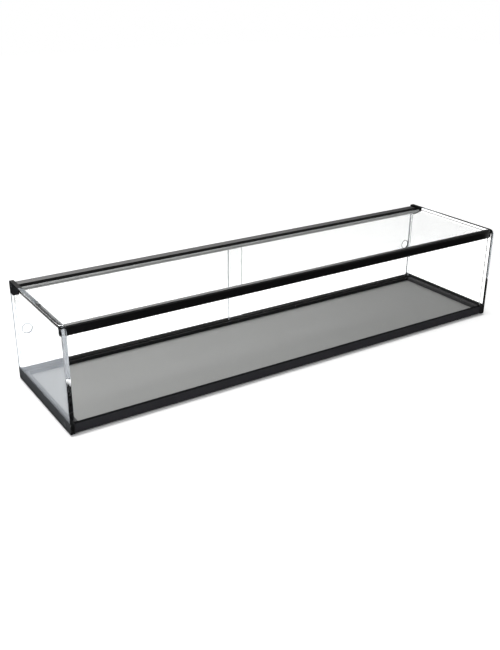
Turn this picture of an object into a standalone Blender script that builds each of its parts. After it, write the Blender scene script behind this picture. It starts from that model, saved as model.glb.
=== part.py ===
"""Countertop display case.

Two full height side glasses carry a front glass, a top glass, black rails
and a low black base frame with a grey floor. Two glass doors slide behind.
"""

import math

import bmesh
import bpy
from mathutils import Vector

# All sizes are in metres. Every piece is placed in the case's own frame:
# x from the middle of the length, y back from the side glasses' front edges,
# z up from their bottom edges. Section outlines are written as (y, z, radius).

# Overall size, and what all pieces share
LENGTH = 1.000
DEPTH = 0.256
HEIGHT = 0.198
FOOT_DROP = 0.002
GAP = 0.0003
OVERRUN = 0.002
WELD = 0.00001
MERGE = 0.00001

# Side glasses
SIDE_THICKNESS = 0.008
SIDE_FRONT_RADIUS = 0.011
SIDE_CORNER_RADIUS = 0.002
ARRIS = 0.0008

# Where the rails lie between the side glasses
FRONT_INSET = 0.005
REAR_INSET = 0.001
RAIL_WALL = 0.0015
RAIL_EASE = 0.0004

# Front and top glass
FRONT_THICKNESS = 0.004
TOP_THICKNESS = 0.005
TOP_DROP = 0.004
THIN_ARRIS = 0.0004
STRIP_THICKNESS = 0.0005
STRIP_MARGIN = 0.001

# Front top rail
FRONT_RAIL_DROP = 0.0004
FRONT_RAIL_HEIGHT = 0.0178
FRONT_RAIL_DEPTH = 0.009
CHANNEL_DEPTH = 0.006
GLASS_PLAY = 0.0003
LEDGE_DEPTH = 0.008
LEDGE_THICKNESS = 0.0014
LIP_HEIGHT = 0.0018
LIP_GROOVE_HEIGHT = 0.0008
LIP_GROOVE_DEPTH = 0.0004

# Door tracks, each with two channels, and the doors
DOOR_THICKNESS = 0.004
CHANNEL_PLAY = 0.0004
TRACK_WALL = 0.0012
TRACK_RIB = 0.0022
TRACK_WEB = 0.0012
BOTTOM_CHANNEL_DEPTH = 0.0035
LIFT_MARGIN = 0.0005
DOOR_ENTRY = 0.0045
DOOR_OVERLAP = 0.037
LEFT_DOOR_SHARE = 0.5
FINGER_RADIUS = 0.009
FINGER_INSET = 0.0175
STOP_LENGTH = 0.0024

# Rear top rail, its cover strip and its end caps
REAR_RAIL_HEIGHT = 0.0165
REAR_RAIL_TOP_DEPTH = 0.020
REAR_REBATE_DEPTH = 0.014
REAR_WALL = 0.001
REAR_LIP = 0.0012
NOSE_EDGE = 0.001
COVER_THICKNESS = 0.0008
COVER_MARGIN = 0.001
CAP_THICKNESS = 0.002
CAP_DROP = 0.004
CAP_HEEL = 0.0008

# Base frame
BASE_HEIGHT = 0.018
BASE_REAR_DEPTH = 0.020
END_RAIL_WIDTH = 0.010
GROOVE_DEPTH = 0.0078
BLOCK_THICKNESS = 0.0015
BLOCK_LENGTH = 0.060
BLOCK_PLACE_SHARE = 0.25
TRACK_RISE = 0.0027
SHELF_DEPTH = 0.006
SHELF_THICKNESS = 0.0015
PORT_WALL = 0.001

# Floor, what stiffens it, and what the case stands on
FLOOR_TOP = 0.0105
FLOOR_THICKNESS = 0.002
STIFFENER_WIDTH = 0.030
STIFFENER_HEIGHT = 0.007
STIFFENER_WALL = 0.0012
STIFFENER_PLACE_SHARE = 1 / 6
CORNER_ARM = 0.040
CORNER_WIDTH = 0.020
FOOT_RADIUS = 0.009
FOOT_EDGE = 0.0006
FOOT_STEM_RADIUS = 0.003
FOOT_STEM_LENGTH = 0.005

# Screws through the side glasses
SCREW_RADIUS = 0.0016
SCREW_HEAD_RADIUS = 0.004
SCREW_RIM = 0.0002
SCREW_TIP = 0.0008
LONG_SCREW = 0.025
SHORT_SCREW = 0.014
SOCKET_RADIUS = 0.0015
SOCKET_DEPTH = 0.0013
BASE_SCREW_HEIGHT = 0.009
BASE_SCREW_SETBACK = 0.021

# How finely the round shapes are divided
ROUND_STEPS = 24
CORNER_STEPS = 6
EASE_STEPS = 2
SOCKET_SIDES = 6

# Lines across the depth, worked out from the sizes above
REAR = DEPTH - REAR_INSET
FRONT_GLASS_FRONT = FRONT_INSET + RAIL_WALL + GLASS_PLAY
FRONT_GLASS_BACK = FRONT_GLASS_FRONT + FRONT_THICKNESS
FRONT_CHANNEL_FRONT = FRONT_INSET + RAIL_WALL
FRONT_CHANNEL_BACK = FRONT_GLASS_BACK + GLASS_PLAY
BASE_FRONT_BACK = FRONT_CHANNEL_BACK + RAIL_WALL
FRONT_RAIL_BACK = FRONT_INSET + FRONT_RAIL_DEPTH
LEDGE_BACK = FRONT_RAIL_BACK + LEDGE_DEPTH
REBATE = REAR - REAR_RAIL_TOP_DEPTH
NOSE = REBATE - REAR_REBATE_DEPTH
CHANNEL_WIDTH = DOOR_THICKNESS + 2 * CHANNEL_PLAY
TRACK_DEPTH = 2 * TRACK_WALL + TRACK_RIB + 2 * CHANNEL_WIDTH
CAVITY_BACK = REAR - REAR_WALL
TRACK_BACK = CAVITY_BACK - GAP
TRACK_FRONT = TRACK_BACK - TRACK_DEPTH
CAVITY_FRONT = TRACK_FRONT - GAP
INNER_CHANNEL_FRONT = TRACK_FRONT + TRACK_WALL
OUTER_CHANNEL_BACK = TRACK_BACK - TRACK_WALL
INNER_CHANNEL_MIDDLE = INNER_CHANNEL_FRONT + CHANNEL_WIDTH / 2
OUTER_CHANNEL_MIDDLE = OUTER_CHANNEL_BACK - CHANNEL_WIDTH / 2
BASE_REAR_FRONT = REAR - BASE_REAR_DEPTH

# Levels, worked out from the sizes above
TOP_GLASS_TOP = HEIGHT - TOP_DROP
TOP_GLASS_BOTTOM = TOP_GLASS_TOP - TOP_THICKNESS
BEARING = TOP_GLASS_BOTTOM - STRIP_THICKNESS - 2 * GAP
FRONT_RAIL_TOP = HEIGHT - FRONT_RAIL_DROP
FRONT_RAIL_BOTTOM = FRONT_RAIL_TOP - FRONT_RAIL_HEIGHT
CHANNEL_CEILING = FRONT_RAIL_BOTTOM + CHANNEL_DEPTH
REAR_RAIL_BOTTOM = TOP_GLASS_TOP - REAR_RAIL_HEIGHT
NOSE_BOTTOM = BEARING - NOSE_EDGE
SLOPE_FOOT = CAVITY_FRONT - REAR_LIP
TRACK_TOP = BASE_HEIGHT + TRACK_RISE
TRACK_FLOOR = TRACK_TOP - BOTTOM_CHANNEL_DEPTH
TRACK_BOTTOM = TRACK_FLOOR - TRACK_WEB
DOOR_BOTTOM = TRACK_FLOOR + GAP
DOOR_TOP = REAR_RAIL_BOTTOM + DOOR_ENTRY
TOP_TRACK_CEILING = DOOR_TOP + BOTTOM_CHANNEL_DEPTH + LIFT_MARGIN
TOP_TRACK_TOP = TOP_TRACK_CEILING + TRACK_WEB
CAVITY_CEILING = TOP_TRACK_TOP + GAP
GROOVE_FLOOR = BASE_HEIGHT - GROOVE_DEPTH
FRONT_GLASS_BOTTOM = GROOVE_FLOOR + BLOCK_THICKNESS + 2 * GAP
FLOOR_BOTTOM = FLOOR_TOP - FLOOR_THICKNESS
SHELF_TOP = FLOOR_BOTTOM - GAP
SHELF_BOTTOM = SHELF_TOP - SHELF_THICKNESS

# Half lengths of what lies between the side glasses
BETWEEN = LENGTH / 2 - SIDE_THICKNESS
RAIL_HALF = BETWEEN - GAP
CAPPED_HALF = RAIL_HALF - CAP_THICKNESS - GAP
END_RAIL_INNER = RAIL_HALF - END_RAIL_WIDTH
DOOR_HALF = RAIL_HALF - STOP_LENGTH - GAP

# Screws: depth from the front, height and length
FRONT_PORT = (FRONT_INSET + FRONT_RAIL_DEPTH / 2, (CHANNEL_CEILING + FRONT_RAIL_TOP) / 2)
REAR_PORT = ((CAVITY_FRONT + CAVITY_BACK) / 2, (CAVITY_CEILING + TOP_GLASS_TOP) / 2)
BASE_REAR_PORT = ((CAVITY_FRONT + CAVITY_BACK) / 2, BASE_SCREW_HEIGHT)
BASE_FRONT_HOLE = (FRONT_INSET + BASE_SCREW_SETBACK, BASE_SCREW_HEIGHT)
SCREWS = {
    "front_top": (FRONT_PORT, LONG_SCREW),
    "rear_top": (REAR_PORT, LONG_SCREW),
    "base_front": (BASE_FRONT_HOLE, SHORT_SCREW),
    "base_rear": (BASE_REAR_PORT, LONG_SCREW),
}
PORT_RADIUS = SCREW_RADIUS + GAP
SIDES = {"left": -1, "right": 1}
ALONG_X = (math.pi / 2, 0.0, math.pi / 2)
ALONG_Y = (math.pi / 2, 0.0, 0.0)


def clear_scene():
    """Remove everything that the new file came with."""
    for thing in list(bpy.data.objects):
        bpy.data.objects.remove(thing, do_unlink=True)


def make_collection(name):
    """A collection in the scene."""
    collection = bpy.data.collections.new(name)
    bpy.context.scene.collection.children.link(collection)
    return collection


def finish(name, colour, roughness, metallic=0.0, transmission=0.0):
    """A plain Principled material."""
    material = bpy.data.materials.new(name)
    material.use_nodes = True
    shader = material.node_tree.nodes["Principled BSDF"]
    shader.inputs["Base Color"].default_value = (*colour, 1.0)
    shader.inputs["Roughness"].default_value = roughness
    shader.inputs["Metallic"].default_value = metallic
    shader.inputs["Transmission Weight"].default_value = transmission
    material.diffuse_color = (*colour, 1.0)
    return material


def clear_glass():
    """Clear float glass."""
    return finish("clear_glass", (0.92, 0.96, 0.95), 0.02, transmission=1.0)


def black_rail():
    """Black anodised aluminium of the rails."""
    return finish("black_rail", (0.018, 0.018, 0.020), 0.35, metallic=0.6)


def grey_cover():
    """Grey strip over the sloping face of the rear rail."""
    return finish("grey_cover", (0.30, 0.30, 0.31), 0.45, metallic=0.3)


def black_plastic():
    """Black plastic of the tracks, caps and corner blocks."""
    return finish("black_plastic", (0.020, 0.020, 0.021), 0.5)


def black_rubber():
    """Rubber of the feet, stops and setting blocks."""
    return finish("black_rubber", (0.015, 0.015, 0.015), 0.8)


def black_tape():
    """Glazing strip that the top glass lies on."""
    return finish("black_tape", (0.012, 0.012, 0.012), 0.7)


def grey_floor():
    """Satin grey sheet of the floor."""
    return finish("grey_floor", (0.34, 0.34, 0.34), 0.5)


def black_screw():
    """Blackened steel of the screws."""
    return finish("black_screw", (0.03, 0.03, 0.03), 0.4, metallic=0.8)


def rounded(corners, steps):
    """An outline through (y, z, radius) corners, with an arc at each radius."""
    outline = []
    count = len(corners)
    for index, (across, up, radius) in enumerate(corners):
        corner = Vector((across, up))
        if not radius:
            outline.append(corner)
            continue
        before = (Vector(corners[index - 1][:2]) - corner).normalized()
        after = (Vector(corners[(index + 1) % count][:2]) - corner).normalized()
        half_angle = before.angle(after) / 2
        centre = corner + (before + after).normalized() * radius / math.sin(half_angle)
        start = corner + before * radius / math.tan(half_angle) - centre
        sweep = (corner + after * radius / math.tan(half_angle) - centre).angle_signed(start)
        for step in range(steps + 1):
            angle = sweep * step / steps
            turned_x = start.x * math.cos(angle) - start.y * math.sin(angle)
            turned_y = start.x * math.sin(angle) + start.y * math.cos(angle)
            outline.append(centre + Vector((turned_x, turned_y)))
    return outline


def circle(centre, radius):
    """A round outline."""
    outline = []
    for step in range(ROUND_STEPS):
        angle = 2 * math.pi * step / ROUND_STEPS
        offset = Vector((math.cos(angle), math.sin(angle))) * radius
        outline.append(Vector(centre) + offset)
    return outline


def add_object(name, data, place, turn=(0.0, 0.0, 0.0)):
    """An object in the case's frame."""
    thing = bpy.data.objects.new(name, data)
    thing.parent = case
    thing.location = place
    thing.rotation_euler = turn
    return thing


def add_piece(name, mesh, place, material, turn=(0.0, 0.0, 0.0)):
    """A named piece of the case with its material."""
    piece = add_object(name, mesh, place, turn)
    pieces.objects.link(piece)
    mesh.materials.append(material)
    return piece


def add_cutter(name, mesh, place, turn=(0.0, 0.0, 0.0)):
    """A shape that only cuts others."""
    cutter = add_object(name, mesh, place, turn)
    cutters.objects.link(cutter)
    cutter.hide_render = True
    cutter.display_type = "WIRE"
    return cutter


def outline_mesh(name, outlines, thickness):
    """A flat outline, with any further outlines as holes, given a thickness."""
    curve = bpy.data.curves.new(name, "CURVE")
    curve.dimensions = "2D"
    curve.fill_mode = "BOTH"
    curve.extrude = thickness / 2
    for outline in outlines:
        spline = curve.splines.new("POLY")
        spline.points.add(len(outline) - 1)
        spline.use_cyclic_u = True
        for point, place in zip(spline.points, outline):
            point.co = (place[0], place[1], 0.0, 1.0)
    flat = bpy.data.objects.new(name + "_outline", curve)
    pieces.objects.link(flat)
    bpy.context.view_layer.update()
    graph = bpy.context.evaluated_depsgraph_get()
    mesh = bpy.data.meshes.new_from_object(flat.evaluated_get(graph))
    mesh.name = name
    bpy.data.objects.remove(flat, do_unlink=True)
    bpy.data.curves.remove(curve)
    shape = bmesh.new()
    shape.from_mesh(mesh)
    bmesh.ops.remove_doubles(shape, verts=shape.verts, dist=WELD)
    bmesh.ops.recalc_face_normals(shape, faces=shape.faces)
    shape.to_mesh(mesh)
    shape.free()
    return mesh


def box_mesh(name, size):
    """A box centred on its own origin."""
    mesh = bpy.data.meshes.new(name)
    shape = bmesh.new()
    bmesh.ops.create_cube(shape, size=1.0)
    bmesh.ops.scale(shape, vec=size, verts=shape.verts)
    shape.to_mesh(mesh)
    shape.free()
    return mesh


def rod_mesh(name, radius, length, sides):
    """A straight rod along its own Z."""
    mesh = bpy.data.meshes.new(name)
    shape = bmesh.new()
    bmesh.ops.create_cone(
        shape, cap_ends=True, segments=sides, radius1=radius, radius2=radius, depth=length
    )
    shape.to_mesh(mesh)
    shape.free()
    return mesh


def turned_mesh(name, profile):
    """The open profile of a turned piece, from its top down its outer side."""
    mesh = bpy.data.meshes.new(name)
    shape = bmesh.new()
    points = [shape.verts.new((radius, 0.0, height)) for radius, height in profile]
    for first, second in zip(points, points[1:]):
        shape.edges.new((first, second))
    shape.to_mesh(mesh)
    shape.free()
    return mesh


def turn_round(thing):
    """Spin a profile round its own Z."""
    spin = thing.modifiers.new("Turn", "SCREW")
    spin.steps = ROUND_STEPS
    spin.render_steps = ROUND_STEPS
    spin.use_merge_vertices = True
    spin.merge_threshold = MERGE
    spin.use_smooth_shade = True


def cut(piece, cutter):
    """Take a cutter's shape out of a piece."""
    boolean = piece.modifiers.new("Cut", "BOOLEAN")
    boolean.operation = "DIFFERENCE"
    boolean.solver = "EXACT"
    boolean.object = cutter


def soften(piece, width):
    """Take the sharp edges off a piece."""
    bevel = piece.modifiers.new("Arris", "BEVEL")
    bevel.width = width
    bevel.segments = 1
    bevel.limit_method = "ANGLE"


def box_between(name, low, high, material):
    """A box piece between two corners."""
    low = Vector(low)
    high = Vector(high)
    return add_piece(name, box_mesh(name, high - low), (low + high) / 2, material)


def length_piece(name, outlines, half_length, material):
    """A section in the (y, z) plane drawn out along the case's length."""
    mesh = outline_mesh(name, outlines, 2 * half_length)
    return add_piece(name, mesh, (0.0, 0.0, 0.0), material, ALONG_X)


def plate_piece(name, outlines, side, outer, thickness, material):
    """A section in the (y, z) plane as a plate whose outer face is at side * outer."""
    mesh = outline_mesh(name, outlines, thickness)
    place = (side * (outer - thickness / 2), 0.0, 0.0)
    return add_piece(name, mesh, place, material, ALONG_X)


def make_screw_cutters():
    """The clearance that each screw needs on its way in."""
    holes = {}
    for side_name, side in SIDES.items():
        for screw_name, ((depth, height), length) in SCREWS.items():
            name = f"{side_name}_{screw_name}_hole"
            wide = SCREW_HEAD_RADIUS + GAP
            narrow = SCREW_RADIUS + GAP
            taper = SCREW_HEAD_RADIUS - SCREW_RADIUS
            profile = [
                (0.0, OVERRUN),
                (wide, OVERRUN),
                (wide, -SCREW_RIM),
                (narrow, -SCREW_RIM - taper),
                (narrow, -length - GAP),
                (0.0, -length - GAP),
            ]
            place = (side * LENGTH / 2, depth, height)
            cutter = add_cutter(name, turned_mesh(name, profile), place, (0.0, side * math.pi / 2, 0.0))
            turn_round(cutter)
            holes[side_name, screw_name] = cutter
    return holes


def make_screws(material):
    """Countersunk socket screws, flush with the outer faces of the side glasses."""
    for side_name, side in SIDES.items():
        for screw_name, ((depth, height), length) in SCREWS.items():
            name = f"screw_{side_name}_{screw_name}"
            taper = SCREW_HEAD_RADIUS - SCREW_RADIUS
            profile = [
                (0.0, 0.0),
                (SCREW_HEAD_RADIUS, 0.0),
                (SCREW_HEAD_RADIUS, -SCREW_RIM),
                (SCREW_RADIUS, -SCREW_RIM - taper),
                (SCREW_RADIUS, -length + SCREW_TIP),
                (SCREW_RADIUS - SCREW_TIP, -length),
                (0.0, -length),
            ]
            place = (side * LENGTH / 2, depth, height)
            turn = (0.0, side * math.pi / 2, 0.0)
            screw = add_piece(name, turned_mesh(name, profile), place, material, turn)
            turn_round(screw)
            socket = rod_mesh(name + "_socket", SOCKET_RADIUS, 2 * SOCKET_DEPTH, SOCKET_SIDES)
            cut(screw, add_cutter(name + "_socket", socket, place, turn))


def make_side_glasses(material, holes):
    """The two end plates, each with a rounded top front corner and four countersunk holes."""
    corners = [
        (0.0, 0.0, SIDE_CORNER_RADIUS),
        (DEPTH, 0.0, SIDE_CORNER_RADIUS),
        (DEPTH, HEIGHT, SIDE_CORNER_RADIUS),
        (0.0, HEIGHT, SIDE_FRONT_RADIUS),
    ]
    outline = rounded(corners, CORNER_STEPS)
    for side_name, side in SIDES.items():
        name = f"{side_name}_side_glass"
        glass = plate_piece(name, [outline], side, LENGTH / 2, SIDE_THICKNESS, material)
        soften(glass, ARRIS)
        for screw_name in SCREWS:
            cut(glass, holes[side_name, screw_name])


def make_front_glass(material):
    """The upright front glass, from the base groove into the front top rail."""
    low = (-RAIL_HALF, FRONT_GLASS_FRONT, FRONT_GLASS_BOTTOM)
    high = (RAIL_HALF, FRONT_GLASS_BACK, CHANNEL_CEILING - GAP)
    soften(box_between("front_glass", low, high, material), THIN_ARRIS)


def make_top_glass(material):
    """The top glass, let in between the front and rear rails."""
    low = (-RAIL_HALF, FRONT_RAIL_BACK + GAP, TOP_GLASS_BOTTOM)
    high = (RAIL_HALF, REBATE - GAP, TOP_GLASS_TOP)
    soften(box_between("top_glass", low, high, material), THIN_ARRIS)


def make_glazing_strips(material):
    """The black strips between the top glass and its two ledges."""
    places = {
        "front_glazing_strip": (FRONT_RAIL_BACK + STRIP_MARGIN, LEDGE_BACK - STRIP_MARGIN),
        "rear_glazing_strip": (NOSE + STRIP_MARGIN, REBATE - STRIP_MARGIN),
    }
    for name, (front, back) in places.items():
        low = (-CAPPED_HALF, front, BEARING + GAP)
        high = (CAPPED_HALF, back, TOP_GLASS_BOTTOM - GAP)
        box_between(name, low, high, material)


def make_front_top_rail(material):
    """Black rail over the front glass, with a fine groove near its top and a ledge behind."""
    groove_top = FRONT_RAIL_TOP - LIP_HEIGHT
    groove_bottom = groove_top - LIP_GROOVE_HEIGHT
    groove_back = FRONT_INSET + LIP_GROOVE_DEPTH
    wall_back = FRONT_CHANNEL_BACK + RAIL_WALL
    corners = [
        (FRONT_INSET, FRONT_RAIL_BOTTOM, RAIL_EASE),
        (FRONT_CHANNEL_FRONT, FRONT_RAIL_BOTTOM, 0.0),
        (FRONT_CHANNEL_FRONT, CHANNEL_CEILING, 0.0),
        (FRONT_CHANNEL_BACK, CHANNEL_CEILING, 0.0),
        (FRONT_CHANNEL_BACK, FRONT_RAIL_BOTTOM, 0.0),
        (wall_back, FRONT_RAIL_BOTTOM, RAIL_EASE),
        (wall_back, BEARING - LEDGE_THICKNESS, 0.0),
        (LEDGE_BACK, BEARING - LEDGE_THICKNESS, 0.0),
        (LEDGE_BACK, BEARING, 0.0),
        (FRONT_RAIL_BACK, BEARING, 0.0),
        (FRONT_RAIL_BACK, FRONT_RAIL_TOP, RAIL_EASE),
        (FRONT_INSET, FRONT_RAIL_TOP, RAIL_EASE),
        (FRONT_INSET, groove_top, 0.0),
        (groove_back, groove_top, 0.0),
        (groove_back, groove_bottom, 0.0),
        (FRONT_INSET, groove_bottom, 0.0),
    ]
    outlines = [rounded(corners, EASE_STEPS), circle(FRONT_PORT, PORT_RADIUS)]
    length_piece("front_top_rail", outlines, RAIL_HALF, material)


def slope_height(depth):
    """The height of the rear rail's sloping face at a depth."""
    fall = (NOSE_BOTTOM - REAR_RAIL_BOTTOM) / (SLOPE_FOOT - NOSE)
    return NOSE_BOTTOM - (depth - NOSE) * fall


def inset_triangle(corners, wall):
    """A triangle drawn in by a wall on all three sides."""
    points = [Vector(corner) for corner in corners]
    sides = [(points[(i + 2) % 3] - points[(i + 1) % 3]).length for i in range(3)]
    perimeter = sum(sides)
    centre = sum((point * side for point, side in zip(points, sides)), Vector((0.0, 0.0))) / perimeter
    edge = points[1] - points[0]
    reach = points[2] - points[0]
    inradius = abs(edge.x * reach.y - edge.y * reach.x) / perimeter
    return [centre + (point - centre) * (1 - wall / inradius) for point in points]


def make_rear_top_rail(material):
    """Black rail over the doors: a rebate for the top glass, a sloping nose, a cavity below."""
    corners = [
        (NOSE, NOSE_BOTTOM, 0.0),
        (SLOPE_FOOT, REAR_RAIL_BOTTOM, 0.0),
        (CAVITY_FRONT, REAR_RAIL_BOTTOM, 0.0),
        (CAVITY_FRONT, CAVITY_CEILING, 0.0),
        (CAVITY_BACK, CAVITY_CEILING, 0.0),
        (CAVITY_BACK, REAR_RAIL_BOTTOM, 0.0),
        (REAR, REAR_RAIL_BOTTOM, 0.0),
        (REAR, TOP_GLASS_TOP, RAIL_EASE),
        (REBATE, TOP_GLASS_TOP, RAIL_EASE),
        (REBATE, BEARING, 0.0),
        (NOSE, BEARING, 0.0),
    ]
    hollow = [
        (NOSE, BEARING),
        (CAVITY_FRONT, BEARING),
        (CAVITY_FRONT, slope_height(CAVITY_FRONT)),
    ]
    outlines = [
        rounded(corners, EASE_STEPS),
        inset_triangle(hollow, RAIL_WALL),
        circle(REAR_PORT, PORT_RADIUS),
    ]
    length_piece("rear_top_rail", outlines, CAPPED_HALF, material)


def make_cover_strip(material):
    """Thin grey strip on the sloping face of the rear rail."""
    start = Vector((NOSE, NOSE_BOTTOM))
    end = Vector((SLOPE_FOOT, REAR_RAIL_BOTTOM))
    along = (end - start).normalized()
    outward = Vector((along.y, -along.x))
    inner = [start + along * COVER_MARGIN + outward * GAP, end - along * COVER_MARGIN + outward * GAP]
    outer = [point + outward * COVER_THICKNESS for point in reversed(inner)]
    length_piece("rear_rail_cover_strip", [inner + outer], CAPPED_HALF, material)


def make_end_caps(material, holes):
    """Thin black plates over the ends of the rear top rail."""
    start_drop = COVER_THICKNESS + 2 * GAP
    corners = [
        (NOSE, NOSE_BOTTOM - start_drop, 0.0),
        (CAVITY_FRONT + CAP_HEEL, REAR_RAIL_BOTTOM - CAP_DROP, RAIL_EASE),
        (REAR, REAR_RAIL_BOTTOM - CAP_DROP, RAIL_EASE),
        (REAR, TOP_GLASS_TOP, RAIL_EASE),
        (REBATE, TOP_GLASS_TOP, 0.0),
        (REBATE, BEARING, 0.0),
        (NOSE, BEARING, 0.0),
    ]
    outline = rounded(corners, EASE_STEPS)
    for side_name, side in SIDES.items():
        name = f"{side_name}_rail_end_cap"
        cap = plate_piece(name, [outline], side, RAIL_HALF, CAP_THICKNESS, material)
        cut(cap, holes[side_name, "rear_top"])


def track_outline(web_side, floor, mouth):
    """The E section of a door track: its back at web_side, channel floors and mouths at theirs."""
    inner_back = INNER_CHANNEL_FRONT + CHANNEL_WIDTH
    outer_front = OUTER_CHANNEL_BACK - CHANNEL_WIDTH
    return [
        (TRACK_FRONT, mouth),
        (TRACK_FRONT, web_side),
        (TRACK_BACK, web_side),
        (TRACK_BACK, mouth),
        (OUTER_CHANNEL_BACK, mouth),
        (OUTER_CHANNEL_BACK, floor),
        (outer_front, floor),
        (outer_front, mouth),
        (inner_back, mouth),
        (inner_back, floor),
        (INNER_CHANNEL_FRONT, floor),
        (INNER_CHANNEL_FRONT, mouth),
    ]


def make_door_tracks(material):
    """The two door tracks, facing each other."""
    top = track_outline(TOP_TRACK_TOP, TOP_TRACK_CEILING, REAR_RAIL_BOTTOM)
    bottom = track_outline(TRACK_BOTTOM, TRACK_FLOOR, TRACK_TOP)
    length_piece("top_door_track", [top], CAPPED_HALF, material)
    length_piece("bottom_door_track", [bottom], RAIL_HALF, material)


def make_doors(material):
    """The sliding doors: the left one in the outer channel, the right one in the inner."""
    meeting = -DOOR_HALF + 2 * DOOR_HALF * LEFT_DOOR_SHARE
    doors = {
        "left": (-DOOR_HALF, meeting, OUTER_CHANNEL_MIDDLE, -DOOR_HALF + FINGER_INSET),
        "right": (meeting - DOOR_OVERLAP, DOOR_HALF, INNER_CHANNEL_MIDDLE, DOOR_HALF - FINGER_INSET),
    }
    for side_name, (start, end, middle, finger) in doors.items():
        name = f"{side_name}_door_glass"
        low = (start, middle - DOOR_THICKNESS / 2, DOOR_BOTTOM)
        high = (end, middle + DOOR_THICKNESS / 2, DOOR_TOP)
        door = box_between(name, low, high, material)
        soften(door, THIN_ARRIS)
        place = (finger, middle, (DOOR_BOTTOM + DOOR_TOP) / 2)
        hole = rod_mesh(name + "_finger_hole", FINGER_RADIUS, DOOR_THICKNESS + OVERRUN, ROUND_STEPS)
        cut(door, add_cutter(name + "_finger_hole", hole, place, ALONG_Y))


def make_door_stops(material):
    """Rubber stops in both ends of both bottom channels."""
    channels = {"inner": INNER_CHANNEL_MIDDLE, "outer": OUTER_CHANNEL_MIDDLE}
    half_width = CHANNEL_WIDTH / 2 - GAP
    for side_name, side in SIDES.items():
        for channel_name, middle in channels.items():
            ends = sorted((side * RAIL_HALF, side * (RAIL_HALF - STOP_LENGTH)))
            low = (ends[0], middle - half_width, TRACK_FLOOR + GAP)
            high = (ends[1], middle + half_width, TRACK_TOP)
            box_between(f"door_stop_{side_name}_{channel_name}", low, high, material)


def shelf_relief(rail, name, front, back):
    """Cut a rail's floor shelf away at both ends, where the end rails pass."""
    reach = END_RAIL_WIDTH + SHELF_DEPTH + GAP
    size = (reach + OVERRUN, back - front, SHELF_THICKNESS + 2 * GAP)
    for side_name, side in SIDES.items():
        place = (
            side * (RAIL_HALF - reach + size[0] / 2),
            (front + back) / 2,
            (SHELF_TOP + SHELF_BOTTOM) / 2,
        )
        cutter = add_cutter(f"{name}_{side_name}_relief", box_mesh(name + "_relief", size), place)
        cut(rail, cutter)


def make_base_front_rail(material):
    """Front rail of the base: a groove for the front glass and a shelf for the floor."""
    web_bottom = GROOVE_FLOOR - RAIL_WALL
    shelf_back = BASE_FRONT_BACK + SHELF_DEPTH
    corners = [
        (FRONT_INSET, 0.0, RAIL_EASE),
        (FRONT_CHANNEL_FRONT, 0.0, 0.0),
        (FRONT_CHANNEL_FRONT, web_bottom, 0.0),
        (FRONT_CHANNEL_BACK, web_bottom, 0.0),
        (FRONT_CHANNEL_BACK, 0.0, 0.0),
        (BASE_FRONT_BACK, 0.0, 0.0),
        (BASE_FRONT_BACK, SHELF_BOTTOM, 0.0),
        (shelf_back, SHELF_BOTTOM, 0.0),
        (shelf_back, SHELF_TOP, 0.0),
        (BASE_FRONT_BACK, SHELF_TOP, 0.0),
        (BASE_FRONT_BACK, BASE_HEIGHT, RAIL_EASE),
        (FRONT_CHANNEL_BACK, BASE_HEIGHT, 0.0),
        (FRONT_CHANNEL_BACK, GROOVE_FLOOR, 0.0),
        (FRONT_CHANNEL_FRONT, GROOVE_FLOOR, 0.0),
        (FRONT_CHANNEL_FRONT, BASE_HEIGHT, 0.0),
        (FRONT_INSET, BASE_HEIGHT, RAIL_EASE),
    ]
    rail = length_piece("base_front_rail", [rounded(corners, EASE_STEPS)], RAIL_HALF, material)
    shelf_relief(rail, "base_front", BASE_FRONT_BACK, shelf_back + OVERRUN)


def make_base_rear_rail(material):
    """Rear rail of the base: a recess for the door track, a screw port and a shelf."""
    recess_floor = TRACK_BOTTOM - GAP
    web_bottom = recess_floor - RAIL_WALL
    shelf_front = BASE_REAR_FRONT - SHELF_DEPTH
    port_half = PORT_RADIUS + PORT_WALL
    port_bottom = BASE_SCREW_HEIGHT - port_half
    corners = [
        (BASE_REAR_FRONT, 0.0, 0.0),
        (BASE_REAR_FRONT + RAIL_WALL, 0.0, 0.0),
        (BASE_REAR_FRONT + RAIL_WALL, web_bottom, 0.0),
        (BASE_REAR_PORT[0] - port_half, web_bottom, 0.0),
        (BASE_REAR_PORT[0] - port_half, port_bottom, 0.0),
        (BASE_REAR_PORT[0] + port_half, port_bottom, 0.0),
        (BASE_REAR_PORT[0] + port_half, web_bottom, 0.0),
        (REAR - RAIL_WALL, web_bottom, 0.0),
        (REAR - RAIL_WALL, 0.0, 0.0),
        (REAR, 0.0, RAIL_EASE),
        (REAR, BASE_HEIGHT, RAIL_EASE),
        (CAVITY_BACK, BASE_HEIGHT, 0.0),
        (CAVITY_BACK, recess_floor, 0.0),
        (CAVITY_FRONT, recess_floor, 0.0),
        (CAVITY_FRONT, BASE_HEIGHT, 0.0),
        (BASE_REAR_FRONT, BASE_HEIGHT, RAIL_EASE),
        (BASE_REAR_FRONT, SHELF_TOP, 0.0),
        (shelf_front, SHELF_TOP, 0.0),
        (shelf_front, SHELF_BOTTOM, 0.0),
        (BASE_REAR_FRONT, SHELF_BOTTOM, 0.0),
    ]
    outlines = [rounded(corners, EASE_STEPS), circle(BASE_REAR_PORT, PORT_RADIUS)]
    rail = length_piece("base_rear_rail", outlines, RAIL_HALF, material)
    shelf_relief(rail, "base_rear", shelf_front - OVERRUN, BASE_REAR_FRONT)


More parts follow.
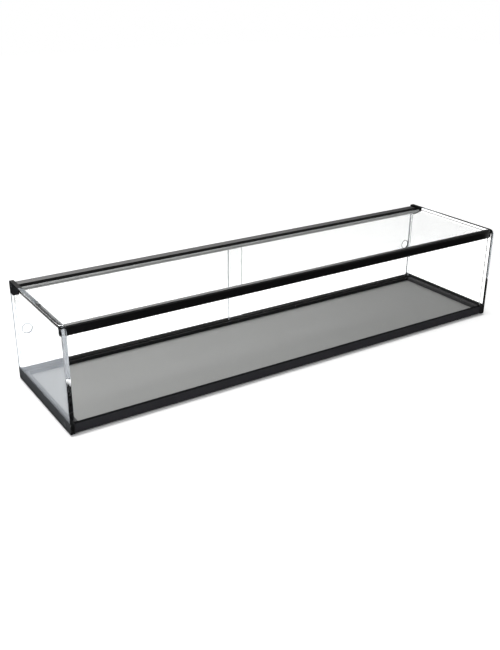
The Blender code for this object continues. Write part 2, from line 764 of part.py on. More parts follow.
def make_base_end_rails(material, holes):
    """End rails of the base, between the front and rear rails, each with its own shelf."""
    front = BASE_FRONT_BACK + GAP
    back = BASE_REAR_FRONT - GAP
    shelf_reach = END_RAIL_WIDTH + SHELF_DEPTH
    for side_name, side in SIDES.items():
        corners = [
            (0.0, 0.0, 0.0),
            (0.0, BASE_HEIGHT, RAIL_EASE),
            (END_RAIL_WIDTH, BASE_HEIGHT, RAIL_EASE),
            (END_RAIL_WIDTH, SHELF_TOP, 0.0),
            (shelf_reach, SHELF_TOP, 0.0),
            (shelf_reach, SHELF_BOTTOM, 0.0),
            (END_RAIL_WIDTH, SHELF_BOTTOM, 0.0),
            (END_RAIL_WIDTH, 0.0, 0.0),
            (END_RAIL_WIDTH - RAIL_WALL, 0.0, 0.0),
            (END_RAIL_WIDTH - RAIL_WALL, BASE_HEIGHT - RAIL_WALL, 0.0),
            (RAIL_WALL, BASE_HEIGHT - RAIL_WALL, 0.0),
            (RAIL_WALL, 0.0, 0.0),
        ]
        outline = [(side * (RAIL_HALF - across), up, ease) for across, up, ease in corners]
        name = f"{side_name}_base_rail"
        mesh = outline_mesh(name, [rounded(outline, EASE_STEPS)], back - front)
        rail = add_piece(name, mesh, (0.0, (front + back) / 2, 0.0), material, ALONG_Y)
        cut(rail, holes[side_name, "base_front"])


def make_setting_blocks(material):
    """Rubber blocks that the front glass stands on, in the base groove."""
    for side_name, side in SIDES.items():
        middle = side * LENGTH * BLOCK_PLACE_SHARE
        low = (middle - BLOCK_LENGTH / 2, FRONT_GLASS_FRONT, GROOVE_FLOOR + GAP)
        high = (middle + BLOCK_LENGTH / 2, FRONT_GLASS_BACK, FRONT_GLASS_BOTTOM - GAP)
        box_between(f"setting_block_{side_name}", low, high, material)


def make_floor_panel(material):
    """The grey floor, lying on the shelves of the base frame."""
    half = END_RAIL_INNER - GAP
    low = (-half, BASE_FRONT_BACK + GAP, FLOOR_BOTTOM)
    high = (half, BASE_REAR_FRONT - GAP, FLOOR_TOP)
    box_between("floor_panel", low, high, material)


def make_floor_stiffeners(material):
    """Channels across the underside of the floor."""
    front = BASE_FRONT_BACK + SHELF_DEPTH + GAP
    back = BASE_REAR_FRONT - SHELF_DEPTH - GAP
    half = STIFFENER_WIDTH / 2
    top = FLOOR_BOTTOM - GAP
    bottom = top - STIFFENER_HEIGHT
    outline = [
        (-half, bottom),
        (-half, top),
        (half, top),
        (half, bottom),
        (half - STIFFENER_WALL, bottom),
        (half - STIFFENER_WALL, top - STIFFENER_WALL),
        (-half + STIFFENER_WALL, top - STIFFENER_WALL),
        (-half + STIFFENER_WALL, bottom),
    ]
    for side_name, side in SIDES.items():
        name = f"floor_stiffener_{side_name}"
        mesh = outline_mesh(name, [outline], back - front)
        place = (side * LENGTH * STIFFENER_PLACE_SHARE, (front + back) / 2, 0.0)
        add_piece(name, mesh, place, material, ALONG_Y)


def make_corner_blocks(material):
    """L shaped blocks in the corners of the base frame, each with a socket for a foot."""
    ends = {"front": (BASE_FRONT_BACK + GAP, 1), "rear": (BASE_REAR_FRONT - GAP, -1)}
    bottom = GAP
    top = SHELF_BOTTOM - GAP
    plan = [
        (0.0, 0.0),
        (CORNER_ARM, 0.0),
        (CORNER_ARM, CORNER_WIDTH),
        (CORNER_WIDTH, CORNER_WIDTH),
        (CORNER_WIDTH, CORNER_ARM),
        (0.0, CORNER_ARM),
    ]
    feet = {}
    for side_name, side in SIDES.items():
        for end_name, (corner_depth, inward) in ends.items():
            corner = side * (END_RAIL_INNER - GAP)
            outline = [(-side * along, inward * across) for along, across in plan]
            foot = (-side * CORNER_WIDTH / 2, inward * CORNER_WIDTH / 2)
            socket = circle(foot, FOOT_STEM_RADIUS + GAP)
            name = f"corner_block_{end_name}_{side_name}"
            mesh = outline_mesh(name, [outline, socket], top - bottom)
            add_piece(name, mesh, (corner, corner_depth, (bottom + top) / 2), material)
            feet[end_name, side_name] = (corner + foot[0], corner_depth + foot[1], 0.0)
    return feet


def make_feet(material, places):
    """Push-in rubber feet."""
    profile = [
        (0.0, FOOT_STEM_LENGTH),
        (FOOT_STEM_RADIUS - FOOT_EDGE, FOOT_STEM_LENGTH),
        (FOOT_STEM_RADIUS, FOOT_STEM_LENGTH - FOOT_EDGE),
        (FOOT_STEM_RADIUS, 0.0),
        (FOOT_RADIUS, 0.0),
        (FOOT_RADIUS, -FOOT_DROP + FOOT_EDGE),
        (FOOT_RADIUS - FOOT_EDGE, -FOOT_DROP),
        (0.0, -FOOT_DROP),
    ]
    for (end_name, side_name), place in places.items():
        name = f"foot_{end_name}_{side_name}"
        turn_round(add_piece(name, turned_mesh(name, profile), place, material))


clear_scene()
pieces = make_collection("display_case")
cutters = make_collection("display_case_cutters")
case = bpy.data.objects.new("display_case", None)
case.location = (0.0, -DEPTH / 2, FOOT_DROP)
pieces.objects.link(case)

glass = clear_glass()
rail_black = black_rail()
plastic = black_plastic()
rubber = black_rubber()
screw_holes = make_screw_cutters()

make_side_glasses(glass, screw_holes)
make_front_glass(glass)
make_top_glass(glass)
make_glazing_strips(black_tape())
make_front_top_rail(rail_black)
make_rear_top_rail(rail_black)
make_cover_strip(grey_cover())
make_end_caps(plastic, screw_holes)
make_door_tracks(plastic)
make_doors(glass)
make_door_stops(rubber)
make_base_front_rail(rail_black)
make_base_rear_rail(rail_black)
make_base_end_rails(rail_black, screw_holes)
make_setting_blocks(rubber)
make_floor_panel(grey_floor())
make_floor_stiffeners(rail_black)
make_feet(rubber, make_corner_blocks(plastic))
make_screws(black_screw())
bpy.context.view_layer.update()
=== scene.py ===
"""Looks of a countertop display case: its glass, black rails, floor, studio and camera."""

import logging
import math
from dataclasses import dataclass, field
from enum import Enum
from functools import cache

import bmesh
import bpy
from mathutils import Matrix, Vector


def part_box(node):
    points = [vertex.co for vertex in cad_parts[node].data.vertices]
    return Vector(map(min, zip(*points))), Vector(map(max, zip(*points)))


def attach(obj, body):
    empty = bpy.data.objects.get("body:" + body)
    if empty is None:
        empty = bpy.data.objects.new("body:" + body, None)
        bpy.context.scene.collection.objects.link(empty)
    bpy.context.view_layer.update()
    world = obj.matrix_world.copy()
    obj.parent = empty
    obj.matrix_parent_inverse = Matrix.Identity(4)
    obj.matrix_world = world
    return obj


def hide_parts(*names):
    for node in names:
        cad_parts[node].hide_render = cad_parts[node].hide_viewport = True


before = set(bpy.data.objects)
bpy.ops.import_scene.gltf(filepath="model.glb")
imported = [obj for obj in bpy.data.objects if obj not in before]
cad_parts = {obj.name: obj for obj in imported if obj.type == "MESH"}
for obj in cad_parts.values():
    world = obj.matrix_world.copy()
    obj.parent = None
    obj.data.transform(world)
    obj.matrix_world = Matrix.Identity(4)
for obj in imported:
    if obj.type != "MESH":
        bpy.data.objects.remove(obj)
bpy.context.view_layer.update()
LOG = logging.getLogger("display_case")

Colour = tuple[float, float, float]
Place = tuple[float, float, float]
Point = tuple[float, float]
Span = tuple[float, float]
Socket = bpy.types.NodeSocket
Number = Socket | float
Value = Number | Colour | Vector

WHITE = (1.0, 1.0, 1.0)
EVEN = (1.0, 1.0, 1.0)
UNIT_SPAN = (0.0, 1.0)
BEYOND_CASE = 1.0
ONE_BOUNCE = 1.0
HALF_BOUNCE = 0.5
QUARTER_TURN = math.pi / 2

# Tolerances in metres, shares and angles that tell the parts of a pane apart
FACE_TOLERANCE = 1e-5
RIM_TOLERANCE = 1e-6
EDGE_TOLERANCE = 1e-7
CUT_TOLERANCE = 1e-7
RIM_REACH_SHARE = 1.2
FLAT_LEAN = 0.99
EDGE_LEAN = 0.1
SHARP_ANGLE = math.radians(60)
SMOOTH_ANGLE = math.radians(35)


class Across(Enum):
    """The direction in which a pane is thin, as the turn from its own plane to the case."""

    LENGTH = Matrix(((0, 0, 1, 0), (1, 0, 0, 0), (0, 1, 0, 0), (0, 0, 0, 1)))
    DEPTH = Matrix(((1, 0, 0, 0), (0, 0, 1, 0), (0, 1, 0, 0), (0, 0, 0, 1)))
    HEIGHT = Matrix(((1, 0, 0, 0), (0, 1, 0, 0), (0, 0, 1, 0), (0, 0, 0, 1)))


class Surface(Enum):
    """The material slots of a pane."""

    FACE = 0
    EDGE = 1
    BACKED = 2
    GROUND = 3
    ARRIS = 4
    SEALED = 5


class Mixed(Enum):
    """What a Mix node mixes, as its data type and the type of its sockets."""

    NUMBER = ("FLOAT", "VALUE")
    COLOUR = ("RGBA", "RGBA")


class NodeTree:
    """A material's or world's nodes, with short calls to add and join them."""

    def __init__(self, owner: bpy.types.Material | bpy.types.World) -> None:
        """Start with an empty tree.

        Args:
            owner: The material or world whose nodes these are.
        """
        owner.use_nodes = True
        self.tree = owner.node_tree
        self.tree.nodes.clear()

    def feed(self, value: Value, target: Socket) -> None:
        """Link a socket to an input, or set the input to a number, a vector or an opaque colour.

        Args:
            value: What the input gets.
            target: The input.
        """
        if isinstance(value, Socket):
            self.tree.links.new(value, target)
        elif target.type == "RGBA":
            target.default_value = (*value, 1.0)
        else:
            target.default_value = value

    def add(
        self, kind: str, inputs: dict[str | int, Value] | None = None, **settings: object
    ) -> bpy.types.Node:
        """Add a node.

        Args:
            kind: The node's type, without the ShaderNode prefix.
            inputs: What some of its inputs get, by name or place.
            settings: Properties of the node.

        Returns:
            The new node.
        """
        node = self.tree.nodes.new(f"ShaderNode{kind}")
        for name, value in settings.items():
            setattr(node, name, value)
        for key, value in (inputs or {}).items():
            self.feed(value, node.inputs[key])
        return node

    def calculate(self, operation: str, first: Number, second: Number = 0.0) -> Socket:
        """Add a Math node.

        Args:
            operation: The node's operation.
            first: A socket or a number.
            second: A socket or a number, where the operation has two.

        Returns:
            The node's output.
        """
        return self.add("Math", {0: first, 1: second}, operation=operation).outputs[0]

    def mix(self, kind: Mixed, share: Socket, first: Value, second: Value) -> Socket:
        """Mix two values by a share.

        Args:
            kind: Whether they are numbers or colours.
            share: The mix's share of the second value.
            first: The value at 0.
            second: The value at 1.

        Returns:
            The mixed value.
        """
        data_type, socket_type = kind.value
        node = self.add("Mix", {"Factor": share}, data_type=data_type)
        ends = [
            socket for socket in node.inputs if socket.type == socket_type and socket.name in ("A", "B")
        ]
        for socket, value in zip(ends, (first, second)):
            self.feed(value, socket)
        return next(socket for socket in node.outputs if socket.type == socket_type)

    def remap(self, value: Socket, ends: Span, span: Span = UNIT_SPAN, smooth: bool = False) -> Socket:
        """Map a span of a value to two ends.

        Args:
            value: The value.
            ends: What the value becomes before and after the span.
            span: Where the change starts and stops.
            smooth: Whether the change starts and stops softly.

        Returns:
            The mapped value.
        """
        names = ("From Min", "From Max", "To Min", "To Max")
        inputs = {"Value": value, **dict(zip(names, span + ends))}
        kind = "SMOOTHSTEP" if smooth else "LINEAR"
        return self.add("MapRange", inputs, interpolation_type=kind).outputs["Result"]

    def noise(self, scale: float, detail: float, stretch: Place = EVEN) -> Socket:
        """Add noise on the piece's own coordinates.

        Args:
            scale: Cells for each metre.
            detail: Octaves.
            stretch: How much finer the pattern is along each axis.

        Returns:
            The noise's value.
        """
        coordinates = self.add("TexCoord").outputs["Object"]
        mapping = self.add("Mapping", {"Vector": coordinates, "Scale": stretch})
        inputs = {"Vector": mapping.outputs["Vector"], "Scale": scale, "Detail": detail}
        return self.add("TexNoise", inputs).outputs["Fac"]

    def inside(self, low: Place, high: Place) -> Socket:
        """Tell whether a point of the piece is in a box.

        Args:
            low: The box's lowest corner.
            high: The box's highest corner.

        Returns:
            1 in the box and 0 outside it.
        """
        middle = (Vector(low) + Vector(high)) / 2
        point = self.add("TexCoord").outputs["Object"]
        offset = self.add("VectorMath", {0: point, 1: middle}, operation="SUBTRACT")
        size = self.add("VectorMath", {0: offset.outputs["Vector"]}, operation="ABSOLUTE")
        reach = {0: size.outputs["Vector"], 1: Vector(high) - middle}
        beyond = self.add("VectorMath", reach, operation="SUBTRACT")
        split = self.add("SeparateXYZ", {"Vector": beyond.outputs["Vector"]})
        most = self.calculate("MAXIMUM", split.outputs["X"], split.outputs["Y"])
        return self.calculate("LESS_THAN", self.calculate("MAXIMUM", most, split.outputs["Z"]), 0.0)

    def bump(self, height: Socket, distance: float, shader: bpy.types.Node) -> None:
        """Raise a shader's surface by a height.

        Args:
            height: The height's output, from 0 to 1.
            distance: What a height of 1 is, in metres.
            shader: The shader that is raised.
        """
        node = self.add("Bump", {"Distance": distance, "Height": height})
        self.feed(node.outputs["Normal"], shader.inputs["Normal"])


@dataclass(frozen=True)
class Glass:
    """Clear glass that lets lamplight through to what it covers."""

    name: str
    tint: Colour
    roughness: float = 0.0
    clearness: float = 1.0
    index: float = 1.5
    wave_scale: float = 6.0
    wave_detail: float = 2.0
    wave_height: float = 0.00001

    def material(self) -> bpy.types.Material:
        """Make the material.

        Returns:
            The glass, with a faint waviness.
        """
        material = bpy.data.materials.new(self.name)
        nodes = NodeTree(material)
        shader = nodes.add("BsdfPrincipled", {
            "Base Color": self.tint, "Roughness": self.roughness, "IOR": self.index,
            "Transmission Weight": self.clearness,
        })
        nodes.bump(nodes.noise(self.wave_scale, self.wave_detail), self.wave_height, shader)
        through = nodes.add("BsdfTransparent", {"Color": self.tint})
        path = nodes.add("LightPath").outputs
        passing = nodes.calculate("MAXIMUM", path["Is Shadow Ray"], path["Is Diffuse Ray"])
        mix = nodes.add("MixShader", {
            "Fac": passing, 1: shader.outputs["BSDF"], 2: through.outputs["BSDF"],
        })
        nodes.add("OutputMaterial", {"Surface": mix.outputs["Shader"]})
        return material


@dataclass(frozen=True)
class PaintedLight:
    """A box of a piece painted in its own colour and gloss, for a painted highlight or painted shade.
    """

    colour: Colour
    low: Place
    high: Place
    shine: float = 0.5


@dataclass(frozen=True)
class Finish:
    """An opaque finish with grain in its colour, its gloss and its surface."""

    name: str
    dark: Colour
    light: Colour
    roughness: Span
    metallic: float = 0.0
    shine: float = 0.5
    grain: float = 900.0
    detail: float = 3.0
    stretch: Place = EVEN
    relief: float = 0.00003
    painted_lights: tuple[PaintedLight, ...] = ()

    def material(self) -> bpy.types.Material:
        """Make the material.

        Returns:
            The material, patterned on the piece's own coordinates.
        """
        material = bpy.data.materials.new(self.name)
        nodes = NodeTree(material)
        grain = nodes.noise(self.grain, self.detail, self.stretch)
        colour = nodes.mix(Mixed.COLOUR, grain, self.dark, self.light)
        shine = self.shine
        # Boxes of painted highlight and painted shade, laid over the grain
        for painted_box in self.painted_lights:
            share = nodes.inside(painted_box.low, painted_box.high)
            colour = nodes.mix(Mixed.COLOUR, share, colour, painted_box.colour)
            shine = nodes.mix(Mixed.NUMBER, share, shine, painted_box.shine)
        shader = nodes.add("BsdfPrincipled", {
            "Base Color": colour, "Roughness": nodes.remap(grain, self.roughness),
            "Metallic": self.metallic, "Specular IOR Level": shine,
        })
        nodes.bump(grain, self.relief, shader)
        nodes.add("OutputMaterial", {"Surface": shader.outputs["BSDF"]})
        return material


@cache
def material_of(look: Glass | Finish) -> bpy.types.Material:
    """Return the material of a glass or finish, made when it is first asked for."""
    return look.material()


# Grain drawn out along the length or the depth, as on extruded rails
ALONG_LENGTH = (0.02, 1.0, 1.0)
ALONG_DEPTH = (1.0, 0.02, 1.0)
DRAWN_RELIEF = 0.000001

# Painted highlight: a grey line along the front top rail's lip groove, standing in for the sheen on its
# edge
GROOVE_PAINTED_HIGHLIGHT = PaintedLight(
    (0.15, 0.15, 0.15),
    low=(-BEYOND_CASE, -BEYOND_CASE, 0.19705), high=(BEYOND_CASE, BEYOND_CASE, 0.19775),
)
# Painted shade: the rear rail's rebate wall and the front edge of its top are painted near black
# without gloss, darkening the band below the top glass
REBATE_PAINTED_SHADE = PaintedLight(
    (0.003, 0.003, 0.003),
    low=(-BEYOND_CASE, 0.1065, 0.1897), high=(BEYOND_CASE, 0.1092, 0.197), shine=0.0,
)
# Painted highlight: the black rear rail's nose is painted near white, standing in for the lit pale band
# below the top glass
NOSE_PAINTED_HIGHLIGHT = PaintedLight(
    (0.85, 0.85, 0.85), low=(-BEYOND_CASE, 0.092, 0.1875), high=(BEYOND_CASE, 0.0942, 0.1902)
)
# Painted shade: the top of the base rail is painted near black without gloss, standing in for the
# shadow in the glass groove
BASE_TOP_PAINTED_SHADE = PaintedLight(
    (0.006, 0.006, 0.006),
    low=(-BEYOND_CASE, -BEYOND_CASE, 0.0196), high=(BEYOND_CASE, BEYOND_CASE, 0.022), shine=0.0,
)
# Painted highlight: the front edge of the black glazing tape is painted pale grey, adding to the lit
# band below the top glass
STRIP_FRONT_PAINTED_HIGHLIGHT = PaintedLight(
    (0.55, 0.55, 0.55), low=(-BEYOND_CASE, 0.093, 0.189), high=(BEYOND_CASE, 0.0975, 0.192)
)

FACE_GLASS = Glass("face_glass", (0.992, 0.996, 0.994))
EDGE_GLASS = Glass("edge_glass", (0.84, 0.855, 0.87), roughness=0.02)
ARRIS_GLASS = Glass("arris_glass", (0.30, 0.31, 0.32), roughness=0.15)
SHADED_EDGE_GLASS = Glass("shaded_edge_glass", (0.40, 0.41, 0.42), roughness=0.05)
GROUND_EDGE_GLASS = Glass("ground_edge_glass", (0.66, 0.70, 0.74), roughness=0.4, clearness=0.2)
HOLE_GLASS = Glass("ground_hole_glass", (0.09, 0.095, 0.10), roughness=0.45, clearness=0.1)

BACKING = Finish(
    "black_backing", dark=(0.030, 0.030, 0.031), light=(0.035, 0.035, 0.036),
    roughness=(0.45, 0.55), shine=0.1, grain=500.0,
)
SEAL = Finish(
    "black_seal", dark=(0.004, 0.004, 0.004), light=(0.006, 0.006, 0.006),
    roughness=(0.5, 0.6), shine=0.08, grain=500.0,
)
TOP_RAIL = Finish(
    "satin_black_rail", dark=(0.0035, 0.0035, 0.004), light=(0.005, 0.005, 0.006),
    roughness=(0.40, 0.44), shine=0.75, stretch=ALONG_LENGTH, relief=DRAWN_RELIEF,
    painted_lights=(GROOVE_PAINTED_HIGHLIGHT,),
)
# Painted reflection: the rear top rail is ten times lighter than the front rail's black, standing in
# for the grey sheen on its top face; the gloss lamps add the rest
REAR_RAIL = Finish(
    "black_rail_painted_lighter", dark=(0.030, 0.029, 0.028), light=(0.036, 0.035, 0.034),
    roughness=(0.44, 0.50), stretch=ALONG_LENGTH, relief=DRAWN_RELIEF,
    painted_lights=(REBATE_PAINTED_SHADE, NOSE_PAINTED_HIGHLIGHT),
)
COVER = Finish(
    "satin_grey_cover", dark=(0.62, 0.62, 0.625), light=(0.66, 0.66, 0.665),
    roughness=(0.35, 0.45), metallic=1.0, stretch=ALONG_LENGTH, relief=DRAWN_RELIEF,
)
BASE = Finish(
    "satin_black_base", dark=(0.036, 0.036, 0.041), light=(0.042, 0.042, 0.048),
    roughness=(0.44, 0.5), shine=0.15, stretch=ALONG_LENGTH, relief=DRAWN_RELIEF,
    painted_lights=(BASE_TOP_PAINTED_SHADE,),
)
# Painted light: the end base rails are a lighter copy of the black base finish, standing in for the
# light that falls on them
SIDE_BASE_PAINTED_LIT = Finish(
    "satin_black_base_painted_lit", dark=(0.055, 0.055, 0.057), light=(0.062, 0.062, 0.064),
    roughness=(0.5, 0.56), shine=0.15, stretch=ALONG_DEPTH, relief=DRAWN_RELIEF,
)
# Painted shade: the rear base rail is a darker copy of the black base finish, standing in for the shade
# at the back of the case
INNER_BASE_PAINTED_SHADE = Finish(
    "matt_black_base_painted_darker", dark=(0.009, 0.009, 0.010), light=(0.012, 0.012, 0.013),
    roughness=(0.55, 0.6), shine=0.15, stretch=ALONG_LENGTH, relief=DRAWN_RELIEF,
)
FLOOR = Finish(
    "speckled_grey_floor", dark=(0.27, 0.27, 0.265), light=(0.45, 0.45, 0.445),
    roughness=(0.42, 0.6), shine=0.2, grain=1400.0, detail=5.0, relief=0.00004,
)
PLASTIC = Finish(
    "matt_black_plastic", dark=(0.010, 0.010, 0.010), light=(0.015, 0.015, 0.015),
    roughness=(0.5, 0.6), shine=0.2,
)
RUBBER = Finish(
    "black_rubber_finish", dark=(0.010, 0.010, 0.010), light=(0.018, 0.018, 0.018),
    roughness=(0.7, 0.85),
)
TAPE = Finish(
    "black_tape_finish", dark=(0.003, 0.003, 0.003), light=(0.005, 0.005, 0.005),
    roughness=(0.6, 0.75), shine=0.0, painted_lights=(STRIP_FRONT_PAINTED_HIGHLIGHT,),
)
SCREW = Finish(
    "blackened_screw", dark=(0.02, 0.02, 0.02), light=(0.05, 0.05, 0.05),
    roughness=(0.25, 0.4), metallic=0.7, relief=0.00002,
)


def corners(box: tuple[Place, Place]) -> tuple[Vector, Vector]:
    """Return a box's lowest and highest corner as vectors."""
    low, high = box
    return Vector(low), Vector(high)


@dataclass(frozen=True)
class Hole:
    """A round hole through a pane, chamfered at one face or at both where it has a sink."""

    centre: Point
    radius: float
    sink: float = 0.0
    sink_at_top: bool = True
    sink_both: bool = False

    def sunk_levels(self, low: float, high: float) -> list[float]:
        """Return the levels of the pane's faces at which the hole is chamfered."""
        if not self.sink:
            return []
        if self.sink_both:
            return [low, high]
        return [high if self.sink_at_top else low]


@dataclass(frozen=True)
class Patch:
    """A part of a pane, inside a convex outline drawn anticlockwise, that has its own surface."""

    surface: Surface
    outline: tuple[Point, ...]

    def sides(self) -> list[tuple[Vector, Vector]]:
        """Return the start and the direction of each side."""
        ends = self.outline[1:] + self.outline[:1]
        return [
            (Vector(start), (Vector(end) - Vector(start)).normalized())
            for start, end in zip(self.outline, ends)
        ]

    def holds(self, point: Vector) -> bool:
        """Tell whether a point of the pane's plane is inside the outline."""
        return all(along.cross(point - start) > 0 for start, along in self.sides())


@dataclass
class Pane:
    """A flat pane in its own plane, with polished arrises, rounded corners and holes."""

    name: str
    node: str
    body: str
    across: Across
    radii: tuple[float, float, float, float] = (0.0006, 0.0006, 0.0006, 0.0006)
    holes: list[Hole] = field(default_factory=list)
    patches: list[Patch] = field(default_factory=list)
    arris: float = 0.0005
    arris_steps: int = 2
    sink_steps: int = 1
    corner_steps: int = 8
    hole_steps: int = 48
    edge_look: Glass | Finish = EDGE_GLASS
    arris_look: Glass | Finish = EDGE_GLASS
    ground_look: Glass | Finish = HOLE_GLASS

    def looks(self) -> dict[Surface, Glass | Finish]:
        """Return what each surface of the pane looks like."""
        return {
            Surface.FACE: FACE_GLASS,
            Surface.EDGE: self.edge_look,
            Surface.BACKED: BACKING,
            Surface.GROUND: self.ground_look,
            Surface.ARRIS: self.arris_look,
            Surface.SEALED: SEAL,
        }

    def local_box(self) -> tuple[Vector, Vector]:
        """Return the lowest and highest corner in the pane's own plane."""
        turn = self.across.value.inverted()
        low, high = corners(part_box(self.node))
        return turn @ low, turn @ high

    def outline(self, shape: bmesh.types.BMesh, low: Vector, high: Vector) -> list[bmesh.types.BMEdge]:
        """Draw the pane's outline, a rounded rectangle.

        Args:
            shape: The mesh to draw in.
            low: The lowest corner.
            high: The highest corner.

        Returns:
            The outline's edges.
        """
        places = ((low.x, low.y), (high.x, low.y), (high.x, high.y), (low.x, high.y))
        points = []
        for turn, (corner, radius) in enumerate(zip(places, self.radii)):
            inward = Vector((1 if corner[0] == low.x else -1, 1 if corner[1] == low.y else -1))
            centre = Vector(corner) + inward * radius
            start = math.pi + turn * QUARTER_TURN
            for step in range(self.corner_steps + 1):
                angle = start + step / self.corner_steps * QUARTER_TURN
                offset = Vector((math.cos(angle), math.sin(angle))) * radius
                points.append(shape.verts.new((*(centre + offset), low.z)))
        return [shape.edges.new((points[i - 1], points[i])) for i in range(len(points))]

    def drill(self, shape: bmesh.types.BMesh, level: float) -> list[bmesh.types.BMEdge]:
        """Draw the rims of the holes.

        Args:
            shape: The mesh to draw in.
            level: The height of the pane's lower face.

        Returns:
            The rims' edges.
        """
        rims = []
        for hole in self.holes:
            place = Matrix.Translation((*hole.centre, level))
            circle = bmesh.ops.create_circle(
                shape, cap_ends=False, segments=self.hole_steps, radius=hole.radius, matrix=place
            )
            rims += list({edge for vert in circle["verts"] for edge in vert.link_edges})
        return rims

    def thicken(self, shape: bmesh.types.BMesh, height: float) -> None:
        """Raise the drawn sheet to a solid.

        Args:
            shape: The sheet.
            height: The pane's thickness.
        """
        sheet = bmesh.ops.extrude_face_region(shape, geom=shape.faces[:])
        raised = [item for item in sheet["geom"] if isinstance(item, bmesh.types.BMVert)]
        bmesh.ops.translate(shape, vec=(0.0, 0.0, height), verts=raised)
        bmesh.ops.recalc_face_normals(shape, faces=shape.faces[:])

    def soften(
        self, shape: bmesh.types.BMesh, edges: list[bmesh.types.BMEdge], width: float, steps: int
    ) -> None:
        """Bevel edges.

        Args:
            shape: The pane.
            edges: The edges to bevel.
            width: The bevel's width.
            steps: Its segments.
        """
        bmesh.ops.bevel(
            shape, geom=edges, offset=width, offset_type="OFFSET", segments=steps,
            profile=0.5, affect="EDGES", material=-1, clamp_overlap=True,
        )

    def countersink(self, shape: bmesh.types.BMesh, low: Vector, high: Vector) -> None:
        """Chamfer the holes that have a sink, at one face or at both.

        Args:
            shape: The pane.
            low: Its lowest corner.
            high: Its highest corner.
        """
        for hole in self.holes:
            centre = Vector(hole.centre)
            reach = hole.radius * RIM_REACH_SHARE
            for level in hole.sunk_levels(low.z, high.z):
                near = {
                    vert
                    for vert in shape.verts
                    if abs(vert.co.z - level) < RIM_TOLERANCE and (vert.co.xy - centre).length < reach
                }
                rim = [edge for edge in shape.edges if near.issuperset(edge.verts)]
                self.soften(shape, rim, hole.sink, self.sink_steps)

    def polish(self, shape: bmesh.types.BMesh) -> None:
        """Bevel the sharp edges round both faces.

        Args:
            shape: The pane.
        """
        sharp = [
            edge
            for edge in shape.edges
            if edge.is_manifold and edge.calc_face_angle() > SHARP_ANGLE
            and abs(edge.verts[0].co.z - edge.verts[1].co.z) < EDGE_TOLERANCE
        ]
        self.soften(shape, sharp, self.arris, self.arris_steps)

    def sort_surfaces(self, shape: bmesh.types.BMesh) -> None:
        """Give faces, edges and arrises their slots, and shade the rounded parts smoothly.

        Args:
            shape: The pane.
        """
        for face in shape.faces:
            lean = abs(face.normal.z)
            flat = lean > FLAT_LEAN
            edge = Surface.EDGE if lean < EDGE_LEAN else Surface.ARRIS
            face.material_index = Surface.FACE.value if flat else edge.value
            face.smooth = not flat
        for edge in shape.edges:
            edge.smooth = edge.calc_face_angle(0.0) < SMOOTH_ANGLE

    def grind(self, shape: bmesh.types.BMesh) -> None:
        """Give the walls and chamfers of holes that are sunk at both faces the ground slot.

        Args:
            shape: The pane, with its slots already given.
        """
        for hole in self.holes:
            for face in shape.faces:
                reach = (face.calc_center_median().xy - Vector(hole.centre)).length
                near = reach < hole.radius + hole.sink
                if hole.sink_both and near and abs(face.normal.z) < FLAT_LEAN:
                    face.material_index = Surface.GROUND.value

    def back(self, shape: bmesh.types.BMesh, low: Vector, high: Vector) -> None:
        """Cut the pane along the sides of its patches, and give what is inside them its slot.

        Args:
            shape: The pane, with its slots already given.
            low: Its lowest corner.
            high: Its highest corner.
        """
        for patch in self.patches:
            for start, along in patch.sides():
                bmesh.ops.bisect_plane(
                    shape, geom=shape.verts[:] + shape.edges[:] + shape.faces[:],
                    dist=CUT_TOLERANCE, plane_co=(start.x, start.y, 0.0),
                    plane_no=(along.y, -along.x, 0.0),
                )
            for face in shape.faces:
                centre = face.calc_center_median()
                flat = min(abs(centre.z - low.z), abs(centre.z - high.z)) < FACE_TOLERANCE
                rim = centre.x > high.x - self.arris or centre.y > high.y - self.arris
                if (flat or rim) and patch.holds(centre.xy):
                    face.material_index = patch.surface.value

    def build(self) -> bpy.types.Object:
        """Build the pane in the place of its CAD node.

        Returns:
            The pane's object.
        """
        low, high = self.local_box()
        shape = bmesh.new()
        edges = self.outline(shape, low, high) + self.drill(shape, low.z)
        bmesh.ops.triangle_fill(shape, edges=edges, use_beauty=True, use_dissolve=False)
        self.thicken(shape, high.z - low.z)
        self.countersink(shape, low, high)
        self.polish(shape)
        self.sort_surfaces(shape)
        self.grind(shape)
        self.back(shape, low, high)
        bmesh.ops.transform(shape, matrix=self.across.value, verts=shape.verts[:])
        bmesh.ops.recalc_face_normals(shape, faces=shape.faces[:])
        mesh = bpy.data.meshes.new(self.name)
        shape.to_mesh(mesh)
        shape.free()
        looks = self.looks()
        for surface in Surface:
            mesh.materials.append(material_of(looks[surface]))
        pane = bpy.data.objects.new(self.name, mesh)
        bpy.context.scene.collection.objects.link(pane)
        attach(pane, self.body)
        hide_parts(self.node)
        LOG.info("%s stands for %s", self.name, self.node)
        return pane


